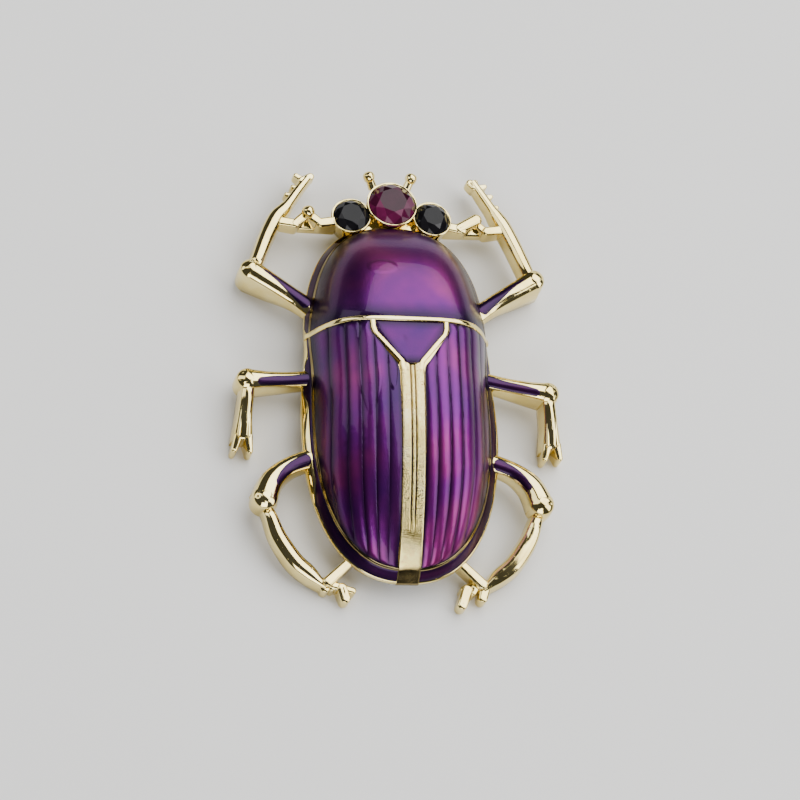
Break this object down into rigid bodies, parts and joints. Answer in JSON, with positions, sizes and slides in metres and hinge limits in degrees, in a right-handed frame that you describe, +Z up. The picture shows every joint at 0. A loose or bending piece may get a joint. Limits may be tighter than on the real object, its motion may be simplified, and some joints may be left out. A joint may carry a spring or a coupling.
{
  "type": "brooch",
  "caption": "Scarab beetle brooch: hollow gold-tone casting with purple enamel, round cut stones along the head and a pin finding behind the body.",
  "frame": {"origin": "the middle of the brooch on the surface that its feet rest on", "axes": "+Y towards the head, +Z up from the surface through the back of the beetle, +X towards the beetle's right side"},
  "size_m": [0.0344, 0.0466, 0.01],
  "materials": {
    "gold_metal": "polished pale gold plate",
    "purple_enamel": "glossy metallic purple enamel",
    "wine_stone": "faceted wine-red stone",
    "black_stone": "faceted black stone",
    "steel_pin": "satin"
  },
  "bodies": {
    "root": {"casting": "gold_metal", "pronotum_enamel": "purple_enamel", "scutellum_enamel": "purple_enamel", "left_elytron_enamel": "purple_enamel", "right_elytron_enamel": "purple_enamel", "left_margin_enamel": "purple_enamel", "right_margin_enamel": "purple_enamel", "left_shoulder_enamel": "purple_enamel", "right_shoulder_enamel": "purple_enamel", "left_front_leg_enamel": "purple_enamel", "right_front_leg_enamel": "purple_enamel", "left_mid_leg_enamel": "purple_enamel", "right_mid_leg_enamel": "purple_enamel", "left_hind_leg_enamel": "purple_enamel", "right_hind_leg_enamel": "purple_enamel", "centre_stone": "wine_stone", "left_stone": "black_stone", "right_stone": "black_stone", "pin_back": "steel_pin"}
  },
  "joints": []
}
